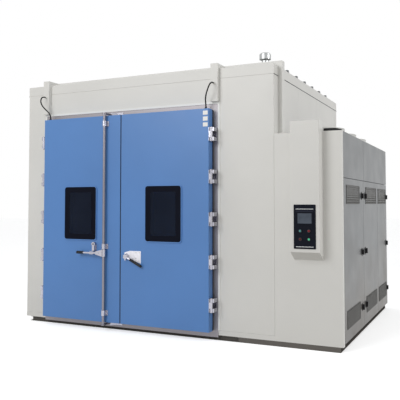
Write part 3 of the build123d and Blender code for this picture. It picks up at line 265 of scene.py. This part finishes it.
# The trim's white, paler than the cream, is partly painted highlight along the edges of the doorway.
white = paint("white_trim_and_painted_edge_highlight", srgb(232, 232, 229), 0.35)
blue = paint("blue_paint", BLUE, 0.36, 0.05)
base_paint = paint("base_paint", srgb(90, 86, 81), 0.6, 0.15, 90.0)
dark_steel = paint("black_guard_paint", srgb(30, 30, 32), 0.45, 0.1)
guard_paint = paint("guard_grey_paint", srgb(196, 196, 192), 0.45, 0.06)
fan_paint = paint("fan_grey_paint", srgb(70, 72, 75), 0.5, 0.1)
motor_paint = paint("motor_paint", srgb(62, 78, 98), 0.5, 0.12)
plate_paint = paint("switch_plate_paint", srgb(196, 196, 190), 0.5)
grille_paint = paint("grille_grey", srgb(66, 65, 62), 0.6, 0.08)
leaf_paint = make_leaf()

brushed = metal("brushed_stainless", STEEL, 0.32, UPRIGHT, 220.0)
frame_steel = metal("frame_stainless", srgb(140, 136, 139), 0.46, UPRIGHT, 220.0)
plate_steel = metal("satin_plate", srgb(224, 223, 229), 0.5, grain=30.0, metallic=0.5)
rod_steel = metal("ground_rod", srgb(134, 131, 137), 0.28, UPRIGHT, 200.0)
liner_steel = metal("liner_stainless", srgb(150, 152, 154), 0.36, UPRIGHT, 160.0)
chrome = metal("bright_chrome", srgb(176, 175, 184), 0.24, (1, 1, 0.3), 30.0, 0.04)
fins = metal("mill_aluminium", srgb(190, 192, 194), 0.4, (1, 0.1, 1), 90.0)
grey_metal = make_side_metal()

rubber = plastic("black_rubber", srgb(24, 24, 26), 0.62, specular=0.25)
black = plastic("black_plastic", srgb(18, 18, 21), 0.42, specular=0.25)
fascia_foil = plastic("fascia_foil", srgb(13, 16, 27), 0.5, specular=0.08)
bezel = plastic("screen_bezel", srgb(36, 38, 54), 0.5, specular=0.15)
border_print = plastic("border_print", srgb(8, 11, 24), 0.35, 0.15, specular=0.06)
seal_grey = plastic("sealing_bead", srgb(96, 96, 96), 0.6)
lamp_glass = plastic("frosted_glass", srgb(232, 234, 230), 0.3, 0.03)
green = plastic("green_lens", srgb(70, 206, 150), 0.22)
pale_green = plastic("pale_green_lens", srgb(92, 150, 150), 0.4, specular=0.15)
red = plastic("red_lens", srgb(128, 34, 44), 0.4, specular=0.15)
dim_red = plastic("dim_red_lens", srgb(84, 26, 30), 0.5, specular=0.15)
glass = make_glass()
screen = make_screen()

CAD_LOOKS = {
    cream: ["floor_panel", "side_walls", "rear_wall", "front_panels", "roof_panel", "cable_trunks",
            "machine_front", "machine_rear_panel", "machine_roof", "control_box"],
    # The opening trim's white is partly painted highlight on the doorway's edges.
    white: ["opening_trim"],
    base_paint: ["base_frame"],
    leaf_paint: ["left_leaf", "right_leaf"],
    grey_metal: ["machine_side_panel", "front_machine_door", "middle_machine_door", "rear_machine_door",
                 "machine_frame", "roof_stiffeners"],
    frame_steel: ["door_frame"],
    brushed: ["air_baffle", "air_heater", "pressure_vent"],
    liner_steel: ["interior_liner"],
    chrome: ["frame_hinges", "left_door_hinges", "right_door_hinges", "lock_keepers", "rod_guides",
             "lock_lever", "latch_lever"],
    plate_steel: ["latch_plate"],
    rod_steel: ["lock_rod"],
    rubber: ["left_gasket", "right_gasket"],
    black: ["left_gland", "right_gland", "front_door_paddles", "middle_door_paddles", "rear_door_paddles"],
    fascia_foil: ["operator_fascia"],
    glass: ["left_window", "right_window"],
    fins: ["evaporator_coil", "condenser_coil"],
    motor_paint: ["fan_motors", "compressors"],
    fan_paint: ["front_circulation_fan", "rear_circulation_fan", "front_condenser_fan",
                "middle_condenser_fan", "rear_condenser_fan"],
    guard_paint: ["fan_guards"],
    plate_paint: ["electrical_plate"],
    lamp_glass: ["interior_lamps"],
    green: ["start_button"],
    dim_red: ["stop_button"],
}
for look, names in CAD_LOOKS.items():
    for name in names:
        for material_slot in nodes[name].material_slots:
            material_slot.material = look.material


# Mesh helpers. An outline is a list of (across, up) points; a front piece stands in the
# XZ plane and grows towards the viewer, a side piece stands in the YZ plane.
def rounded(width, height, radius, centre=(0, 0), steps=6):
    """Outline of a rectangle with round corners."""
    points = []
    for corner, (sx, sy) in enumerate(((1, 1), (-1, 1), (-1, -1), (1, -1))):
        for step in range(steps + 1):
            angle = math.pi / 2 * (corner + step / steps)
            points.append((centre[0] + sx * (width / 2 - radius) + radius * math.cos(angle),
                           centre[1] + sy * (height / 2 - radius) + radius * math.sin(angle)))
    return points


def disc(radius, centre=(0, 0), steps=24):
    """Outline of a circle."""
    return [(centre[0] + radius * math.cos(2 * math.pi * n / steps),
             centre[1] + radius * math.sin(2 * math.pi * n / steps)) for n in range(steps)]


def grown(size, more):
    """A width and height, both larger by the same amount."""
    return size[0] + more, size[1] + more


def on_front(across, up, out):
    """A point on the front: out is how far it stands towards the viewer from the wall's face."""
    return Vector((LEFT + across, FRONT - out, up))


def on_side(across, up, out):
    """A point on the machine's right side: across is counted from the front."""
    return Vector((MACHINE_RIGHT + out, FRONT + across, up))


def link_mesh(name, data, look, smooth):
    """Turn a bmesh into an object with its material."""
    mesh = bpy.data.meshes.new(name)
    bmesh.ops.recalc_face_normals(data, faces=data.faces)
    data.to_mesh(mesh)
    data.free()
    mesh.materials.append(look.material)
    if smooth:
        for face in mesh.polygons:
            face.use_smooth = True
    piece = bpy.data.objects.new(name, mesh)
    bpy.context.scene.collection.objects.link(piece)
    return piece


def finish_mesh(name, data, look, body, bevel=0.0, smooth=False):
    """Turn a bmesh into a piece of the object with its material and body."""
    bmesh.ops.remove_doubles(data, verts=data.verts, dist=1e-6)
    piece = link_mesh(name, data, look, smooth)
    if bevel:
        edge = piece.modifiers.new("edge", "BEVEL")
        edge.width = bevel
        edge.segments = 2
        edge.limit_method = "ANGLE"
    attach(piece, body)
    return piece


def skin_rings(data, rings):
    """Close the first and the last ring and join each ring to the next one."""
    data.faces.new(rings[0])
    data.faces.new(rings[-1])
    for low, high in zip(rings, rings[1:]):
        for n in range(len(low)):
            after = (n + 1) % len(low)
            data.faces.new((low[n], low[after], high[after], high[n]))


def add_prism(data, outline, place, low, high):
    """Add a solid between the planes low and high, with the given outline."""
    skin_rings(data, [[data.verts.new(place(a, b, out)) for a, b in outline] for out in (low, high)])


def add_ring(data, outer, inner, place, low, high):
    """Add a flat ring between two outlines with as many points."""
    rings = [[data.verts.new(place(a, b, out)) for a, b in outline]
             for outline in (outer, inner) for out in (low, high)]
    count = len(outer)
    for n in range(count):
        after = (n + 1) % count
        for first, second in ((0, 1), (1, 3), (3, 2), (2, 0)):
            data.faces.new((rings[first][n], rings[first][after], rings[second][after], rings[second][n]))


def add_dome(data, across, up, base, profile, steps):
    """Add a round cap on the front, from (radius, rise) pairs of its profile."""
    rings = []
    for radius, rise in profile:
        outline = disc(radius, (across, up), steps)
        rings.append([data.verts.new(on_front(a, b, base + rise)) for a, b in outline])
    skin_rings(data, rings)


def ring_round(data, centre, radius, first, second, sides):
    """One ring of points round centre, in the plane of the directions first and second."""
    turns = [2 * math.pi * k / sides for k in range(sides)]
    return [data.verts.new(centre + radius * (math.cos(turn) * first + math.sin(turn) * second))
            for turn in turns]


# Window edges: the black printed border over the pane, the blue outer bead and the spacer behind.
LEAF_FACE = 0.130
PANE_OUT = LEAF_FACE + 0.008
WINDOW_Z = 1.402
WINDOWS = {"left": (0.9435, "left_door"), "right": (2.1045, "right_door")}
PANE_SIZE = (0.469, 0.644)
SIGHT_SIZE = (0.330, 0.505)
for side, (window_x, body) in WINDOWS.items():
    centre = (window_x, WINDOW_Z)
    data = bmesh.new()
    add_ring(data, rounded(*PANE_SIZE, 0.031, centre), rounded(*SIGHT_SIZE, 0.022, centre), on_front,
             PANE_OUT, PANE_OUT + 0.0012)
    finish_mesh(f"{side}_window_border", data, border_print, body)
    data = bmesh.new()
    add_ring(data, rounded(*grown(PANE_SIZE, 0.019), 0.040, centre),
             rounded(*grown(PANE_SIZE, -0.003), 0.030, centre), on_front, LEAF_FACE, PANE_OUT + 0.004)
    finish_mesh(f"{side}_window_bead", data, blue, body, 0.002)
    data = bmesh.new()
    add_ring(data, rounded(*grown(SIGHT_SIZE, 0.004), 0.022, centre),
             rounded(*grown(SIGHT_SIZE, -0.008), 0.018, centre), on_front, 0.055, 0.128)
    finish_mesh(f"{side}_window_spacer", data, brushed, body)

# Small bare plates on the right leaf's upper corner.
PLATE_X, PLATE_WIDTH = 2.640, 0.058
PLATE_SPANS = ((2.514, 2.560), (2.447, 2.494), (2.382, 2.427))
data = bmesh.new()
for low, high in PLATE_SPANS:
    add_prism(data, rounded(PLATE_WIDTH, high - low, 0.004, (PLATE_X, (low + high) / 2), 3), on_front,
              LEAF_FACE, LEAF_FACE + 0.0025)
finish_mesh("bare_corner_plates", data, white, "right_door", 0.0006)

# Screws: low domed heads on the rod's guides and on the latch plate.
SCREW_RADIUS = 0.006
SCREW_PROFILE = [(size * SCREW_RADIUS, rise * SCREW_RADIUS)
                 for size, rise in ((1, 0), (1, 0.25), (0.75, 0.5), (0.35, 0.65))]
SCREW_BASE = LEAF_FACE + 0.005
GUIDE_SCREW_X = (1.275, 1.345)
GUIDE_Z = (0.215, 1.005, 2.485)
GUIDE_SCREW_OFFSET = 0.018
data = bmesh.new()
for x in GUIDE_SCREW_X:
    for z in GUIDE_Z:
        for offset in (GUIDE_SCREW_OFFSET, -GUIDE_SCREW_OFFSET):
            add_dome(data, x, z + offset, SCREW_BASE, SCREW_PROFILE, 12)
finish_mesh("guide_screws", data, chrome, "left_door", smooth=True)
data = bmesh.new()
for x, z in ((1.745, 0.945), (1.790, 0.945), (1.745, 0.880), (1.790, 0.850)):
    add_dome(data, x, z, SCREW_BASE, SCREW_PROFILE, 12)
finish_mesh("latch_screws", data, brushed, "right_door", smooth=True)

# Round caps over both ends of each hinge pin.
HINGE_X, HINGE_Y = (0.345, 2.705), -0.115
HINGE_Z = [0.3965 + 0.47475 * n for n in range(5)]
PIN_HALF_LENGTH = 0.0785
data = bmesh.new()
for x in HINGE_X:
    for z in HINGE_Z:
        for end in (-1, 1):
            pin_end = z + end * PIN_HALF_LENGTH
            rings = []
            for size, lift in ((0.011, -0.0035), (0.011, 0.001), (0.007, 0.004)):
                rings.append([data.verts.new(Vector((LEFT + a, FRONT + HINGE_Y + b, pin_end + end * lift)))
                              for a, b in disc(size, (x, 0), 16)])
            skin_rings(data, rings)
finish_mesh("hinge_pin_caps", data, chrome, "chamber", smooth=True)

# Side grilles: a pressed frame with many thin slats over each louvred inlet.
GRILLES = {
    "front_side_door": (0.190, 0.900), "middle_side_door": (1.300, 2.050), "rear_side_door": (2.210, 2.860),
}
GRILLE_SPANS = ((0.200, 0.395), (1.515, 1.720))
GRILLE_RIM = 0.008
SLAT_PITCH = 0.0125
SLAT_SECTION = ((0.0, 0.0033), (0.008, 0.0006), (0.009, 0.0014), (0.001, 0.0040))
for body, (start, end) in GRILLES.items():
    data = bmesh.new()
    for low, high in GRILLE_SPANS:
        size = (end - start, high - low)
        centre = ((start + end) / 2, (low + high) / 2)
        add_ring(data, rounded(*size, 0.004, centre, 2),
                 rounded(*grown(size, -2 * GRILLE_RIM), 0.003, centre, 2), on_side, 0.0, 0.004)
        for n in range(int((size[1] - 2 * GRILLE_RIM) / SLAT_PITCH)):
            base = low + GRILLE_RIM + 0.001 + n * SLAT_PITCH
            skin_rings(data, [[data.verts.new(on_side(across, base + up, out)) for up, out in SLAT_SECTION]
                              for across in (start + 0.007, end - 0.007)])
    finish_mesh(f"{body}_grilles", data, grille_paint, body)

# Operator fascia: bare screen with its bezel, two bright bars, lamp lenses and dark button rings.
FASCIA_X = 3.775
FASCIA_OUT = 0.156
BUTTON_SPREAD = 0.046
BUTTON_Z, LAMP_Z = 1.154, 1.239
SCREEN_SIZE, SCREEN_Z = (0.150, 0.107), 1.368
data = bmesh.new()
add_prism(data, rounded(*SCREEN_SIZE, 0.004, (FASCIA_X, SCREEN_Z), 3), on_front,
          FASCIA_OUT, FASCIA_OUT + 0.0022)
finish_mesh("screen_face", data, screen, "chamber", 0.0006)
data = bmesh.new()
for x in (FASCIA_X - BUTTON_SPREAD, FASCIA_X + BUTTON_SPREAD):
    for z in (BUTTON_Z, LAMP_Z):
        add_ring(data, disc(0.0165, (x, z)), disc(0.0122, (x, z)), on_front,
                 FASCIA_OUT, FASCIA_OUT + 0.0088)
finish_mesh("button_rings", data, dark_steel, "chamber", 0.0008)
data = bmesh.new()
for z in (1.076, 1.464):
    add_prism(data, rounded(0.186, 0.006, 0.0025, (FASCIA_X, z), 3), on_front,
              FASCIA_OUT, FASCIA_OUT + 0.003)
finish_mesh("fascia_bars", data, brushed, "chamber", 0.0006)
data = bmesh.new()
add_ring(data, rounded(0.178, 0.150, 0.006, (FASCIA_X, SCREEN_Z + 0.004), 3),
         rounded(*grown(SCREEN_SIZE, 0.001), 0.004, (FASCIA_X, SCREEN_Z), 3), on_front,
         FASCIA_OUT, FASCIA_OUT + 0.0026)
finish_mesh("screen_bezel", data, bezel, "chamber", 0.0008)
LENS_PROFILE = ((0.0116, 0.0), (0.0116, 0.0032), (0.0095, 0.0052), (0.005, 0.0062))
for name, x, look, slot_name in (
    ("left_lamp_lens", FASCIA_X - BUTTON_SPREAD, pale_green, "start_green"),
    ("right_lamp_lens", FASCIA_X + BUTTON_SPREAD, red, "stop_red"),
):
    data = bmesh.new()
    add_dome(data, x, LAMP_Z, FASCIA_OUT + 0.008, LENS_PROFILE, 20)
    finish_mesh(name, data, look, "chamber", smooth=True)

# Dark sealing bead in the seam under the roof panel: a half-round run on the sides and the rear.
ROOF_SEAM_Z = 2.935
BEAD_RADIUS = 0.0045
half_round = [(BEAD_RADIUS * math.sin(math.pi * n / 6), BEAD_RADIUS * math.cos(math.pi * n / 6))
              for n in range(7)]


def add_bead(data, x, y, outward, along, length):
    """Add a run of the bead that starts at (x, y), bulges outward and follows along."""
    corner = Vector((x, y, ROOF_SEAM_Z))

    def place(a, b, out):
        return corner + a * outward + b * Z_AXIS + out * along

    add_prism(data, half_round, place, 0.0, length)


data = bmesh.new()
add_bead(data, LEFT, FRONT, -X_AXIS, Y_AXIS, CHAMBER_DEPTH)
add_bead(data, LEFT + CHAMBER_WIDTH, FRONT, X_AXIS, Y_AXIS, CHAMBER_DEPTH)
add_bead(data, LEFT, FRONT + CHAMBER_DEPTH, Y_AXIS, X_AXIS, CHAMBER_WIDTH)
finish_mesh("roof_seam_bead", data, seal_grey, "chamber")

# Black strip along the front edge of the machine roof; its black is partly painted shade on that edge's
# front face.
STRIP_LEFT, STRIP_RIGHT = 3.940, 4.130
MACHINE_TOP, STRIP_TOP = 2.278, 2.306
data = bmesh.new()
strip = [(STRIP_LEFT, MACHINE_TOP), (STRIP_RIGHT, MACHINE_TOP), (STRIP_RIGHT, MACHINE_TOP + 0.010),
         (STRIP_RIGHT - 0.070, STRIP_TOP), (STRIP_LEFT, STRIP_TOP)]
add_prism(data, strip, on_front, -0.030, 0.0)
finish_mesh("machine_roof_strip", data, rubber, "chamber", 0.003)


# Heater cables: the same points as the CAD tubes, as a smooth spline with a round tube.
CABLE_RADIUS = 0.008
CABLE_SIDES = 12
CABLE_END = 2.6103
LEFT_ROUTE = [
    (0.322, -0.0703, 2.894), (0.322, -0.106, 2.894), (0.321, -0.136, 2.878), (0.323, -0.157, 2.848),
    (0.331, -0.164, 2.812), (0.346, -0.161, 2.776), (0.366, -0.149, 2.744), (0.388, -0.131, 2.716),
    (0.407, -0.111, 2.691), (0.418, -0.092, 2.664), (0.422, -0.080, 2.637), (0.422, -0.080, CABLE_END),
]
RIGHT_ROUTE = [
    (2.710, -0.0703, 2.880), (2.710, -0.106, 2.880), (2.706, -0.136, 2.865), (2.697, -0.156, 2.836),
    (2.685, -0.163, 2.799), (2.671, -0.160, 2.763), (2.656, -0.148, 2.732), (2.643, -0.130, 2.708),
    (2.632, -0.110, 2.687), (2.626, -0.092, 2.664), (2.624, -0.080, 2.637), (2.624, -0.080, CABLE_END),
]


def spline_points(name, route):
    """Points read along the route's smooth spline."""
    curve = bpy.data.curves.new(name, "CURVE")
    curve.dimensions = "3D"
    spline = curve.splines.new("NURBS")
    spline.points.add(len(route) - 1)
    for point, (x, y, z) in zip(spline.points, route):
        point.co = (LEFT + x, FRONT + y, z, 1)
    spline.order_u = 3
    spline.use_endpoint_u = True
    curve.resolution_u = 8
    holder = bpy.data.objects.new(name, curve)
    bpy.context.scene.collection.objects.link(holder)
    bpy.context.view_layer.update()
    mesh = bpy.data.meshes.new_from_object(holder)
    points = [v.co.copy() for v in mesh.vertices]
    bpy.data.objects.remove(holder)
    bpy.data.meshes.remove(mesh)
    return points


def make_cable(name, route, node):
    """Make one cable as a tube round its spline, bent between the chamber and its leaf."""
    points = spline_points(name + "_line", route)
    data = bmesh.new()
    rings = []
    normal = X_AXIS
    for n, point in enumerate(points):
        ahead = points[min(n + 1, len(points) - 1)] - points[max(n - 1, 0)]
        ahead.normalize()
        normal = (normal - ahead * normal.dot(ahead)).normalized()
        rings.append(ring_round(data, point, CABLE_RADIUS, normal, ahead.cross(normal), CABLE_SIDES))
    skin_rings(data, rings)
    cable = link_mesh(name, data, rubber, smooth=True)
    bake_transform(cable)
    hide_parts(node)


make_cable("left_heater_cable", LEFT_ROUTE, "left_door_cable")
make_cable("right_heater_cable", RIGHT_ROUTE, "right_door_cable")


# Black grips: a moulded sleeve on the latch lever and one over the last part of the lock lever.
SLEEVE_SIDES = 16


def add_sleeve(data, start, along, upward, across, profile):
    """Add a round sleeve from start, from (reach, radius) pairs of its profile."""
    skin_rings(data, [ring_round(data, start + along * reach, radius, upward, across, SLEEVE_SIDES)
                      for reach, radius in profile])


LATCH_DROP = math.radians(27)
LATCH_HUB = Vector((LEFT + 1.617, FRONT - 0.1603, 0.895))
data = bmesh.new()
add_sleeve(data, LATCH_HUB, Vector((math.cos(LATCH_DROP), 0, -math.sin(LATCH_DROP))),
           Vector((math.sin(LATCH_DROP), 0, math.cos(LATCH_DROP))), Y_AXIS,
           ((0.066, 0.0125), (0.070, 0.0160), (0.225, 0.0155), (0.240, 0.0140), (0.2435, 0.009)))
finish_mesh("latch_grip", data, black, "latch", smooth=True)

LEVER_END = Vector((LEFT + 0.9385, FRONT - 0.189, 0.927))
data = bmesh.new()
add_sleeve(data, LEVER_END, X_AXIS, Y_AXIS, Z_AXIS,
           ((-0.004, 0.010), (-0.002, 0.0165), (0.006, 0.0178), (0.084, 0.0172), (0.0915, 0.0165)))
finish_mesh("lever_grip", data, black, "lock_bar", smooth=True)


# Stage: a pale floor and soft studio light, with a white surround for camera, gloss and glass.
FLOOR_HALF = 60
FLOOR_GLOW = 0.45
AMBIENT = 0.52
LAMPS = (
    ("key", (-2.0, -10.0, 6.0), (0.5, -1.5, 1.2), 5.0, 425),
    ("fill", (10.0, -1.0, 5.0), (1.7, 0.0, 2.4), 4.0, 260),
)


def seen_rays(tree):
    """One for rays that come straight from the camera, off gloss or through glass."""
    rays = tree.nodes.new("ShaderNodeLightPath")
    total = rays.outputs["Is Camera Ray"]
    for kind in ("Is Glossy Ray", "Is Transmission Ray"):
        either = tree.nodes.new("ShaderNodeMath")
        either.operation = "MAXIMUM"
        tree.links.new(total, either.inputs[0])
        tree.links.new(rays.outputs[kind], either.inputs[1])
        total = either.outputs["Value"]
    return total


def make_floor():
    """A wide floor that looks white, but throws less light back at the object."""
    look = Shader("studio_floor", (0.93, 0.93, 0.93, 1), 0.9)
    tone = look.ramp(look.noise(0.4), (0.92, 0.92, 0.92, 1), (0.95, 0.95, 0.95, 1))
    seen = seen_rays(look.tree)
    glow = look.node("ShaderNodeMath", operation="MULTIPLY")
    glow.inputs[1].default_value = FLOOR_GLOW
    look.join(seen, glow.inputs[0])
    look.feed("Emission Strength", glow.outputs["Value"])
    look.set("Emission Color", (1, 1, 1, 1))
    look.feed("Base Color", look.mix(seen, (0.50, 0.48, 0.45, 1), tone))
    data = bmesh.new()
    corners = ((-1, -1), (1, -1), (1, 1), (-1, 1))
    data.faces.new([data.verts.new((FLOOR_HALF * x, FLOOR_HALF * y, 0)) for x, y in corners])
    link_mesh("floor", data, look, smooth=False)


def make_world():
    """An even pale surround, white where it is seen."""
    world = bpy.data.worlds.new("studio")
    bpy.context.scene.world = world
    world.use_nodes = True
    tree = world.node_tree
    light = tree.nodes["Background"]
    light.inputs["Color"].default_value = (0.98, 0.99, 1.0, 1)
    light.inputs["Strength"].default_value = AMBIENT
    seen = tree.nodes.new("ShaderNodeBackground")
    seen.inputs["Color"].default_value = (1, 1, 1, 1)
    seen.inputs["Strength"].default_value = 1.0
    mix = tree.nodes.new("ShaderNodeMixShader")
    tree.links.new(seen_rays(tree), mix.inputs["Fac"])
    tree.links.new(light.outputs["Background"], mix.inputs[1])
    tree.links.new(seen.outputs["Background"], mix.inputs[2])
    tree.links.new(mix.outputs["Shader"], tree.nodes["World Output"].inputs["Surface"])


def make_lamps():
    for name, place, aim, size, power in LAMPS:
        lamp = bpy.data.lights.new(name, "AREA")
        lamp.size = size
        lamp.energy = power
        holder = bpy.data.objects.new(name, lamp)
        holder.location = place
        holder.rotation_euler = (Vector(aim) - Vector(place)).to_track_quat("-Z", "Y").to_euler()
        bpy.context.scene.collection.objects.link(holder)


make_floor()
make_world()
make_lamps()
bpy.context.scene.view_settings.view_transform = "Standard"
